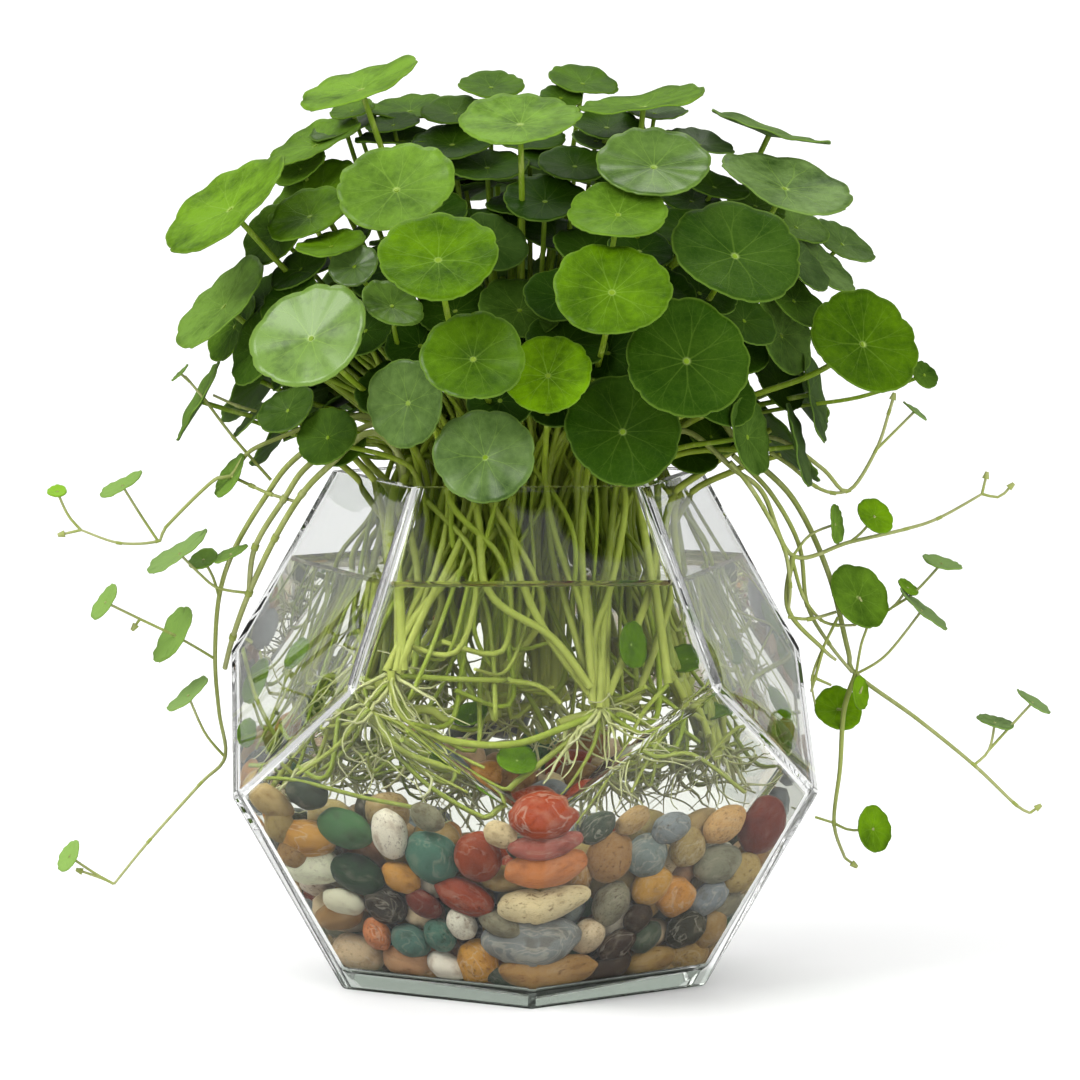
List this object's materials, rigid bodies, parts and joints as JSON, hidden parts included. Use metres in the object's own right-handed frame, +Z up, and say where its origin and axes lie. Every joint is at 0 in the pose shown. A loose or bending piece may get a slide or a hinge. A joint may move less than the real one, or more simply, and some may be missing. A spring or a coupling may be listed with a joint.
{
  "type": "aquatic pennywort in a glass vase",
  "caption": "Water-grown pennywort with round leaves on long stalks and trailing runners, standing in a faceted open glass vase with water and river pebbles.",
  "frame": {"origin": "centre of the vase's flat underside, where it stands", "axes": "+Z up, the plant's growing direction; -Y the side seen in the picture; +X to the right as seen from there"},
  "size_m": [0.2934, 0.1853, 0.2726],
  "materials": {
    "vase_glass": "clear polished glass, faintly green at its thick base",
    "water": "clear still water, faintly yellow-green",
    "pebbles": "smooth wet river pebbles in beige, white, amber, red, green and slate, some banded or speckled",
    "leaf_blades": "waxy soft sheen over pale branching veins",
    "stems": "smooth, juicy, yellow-green",
    "runners": "smooth, thin, grey-green to yellow-green, with small bright leaves"
  },
  "bodies": {
    "root": {"glass_vase": "vase_glass", "leaf_01": "leaf_blades", "leaf_02": "leaf_blades", "leaf_03": "leaf_blades", "leaf_04": "leaf_blades", "leaf_06": "leaf_blades", "leaf_07": "leaf_blades", "leaf_08": "leaf_blades", "leaf_09": "leaf_blades", "leaf_10": "leaf_blades", "leaf_11": "leaf_blades", "leaf_12": "leaf_blades", "leaf_13": "leaf_blades", "leaf_14": "leaf_blades", "leaf_15": "leaf_blades", "leaf_16": "leaf_blades", "leaf_17": "leaf_blades", "leaf_18": "leaf_blades", "leaf_19": "leaf_blades", "leaf_20": "leaf_blades", "leaf_21": "leaf_blades", "leaf_22": "leaf_blades", "leaf_23": "leaf_blades", "leaf_24": "leaf_blades", "leaf_25": "leaf_blades", "leaf_26": "leaf_blades", "leaf_29": "leaf_blades", "leaf_36": "leaf_blades", "leaf_39": "leaf_blades", "leaf_40": "leaf_blades", "leaf_41": "leaf_blades", "leaf_far_01": "leaf_blades", "leaf_far_02": "leaf_blades", "leaf_far_03": "leaf_blades", "leaf_far_04": "leaf_blades", "leaf_far_05": "leaf_blades", "leaf_far_06": "leaf_blades", "leaf_far_07": "leaf_blades", "leaf_far_08": "leaf_blades", "leaf_far_09": "leaf_blades", "leaf_far_10": "leaf_blades", "leaf_far_11": "leaf_blades", "leaf_far_12": "leaf_blades", "leaf_far_13": "leaf_blades", "pebble_bed": "pebbles", "runner_left_long": "runners", "runner_left_pair": "runners", "runner_left_top": "runners", "runner_right_long": "runners", "runner_right_side": "runners", "runner_right_top": "runners", "stems_back": "stems", "stems_back_left": "stems", "stems_back_right": "stems", "stems_front_left": "stems", "stems_front_right": "stems", "stems_left": "stems", "stems_middle": "stems", "stems_right": "stems", "water": "water"}
  },
  "joints": []
}
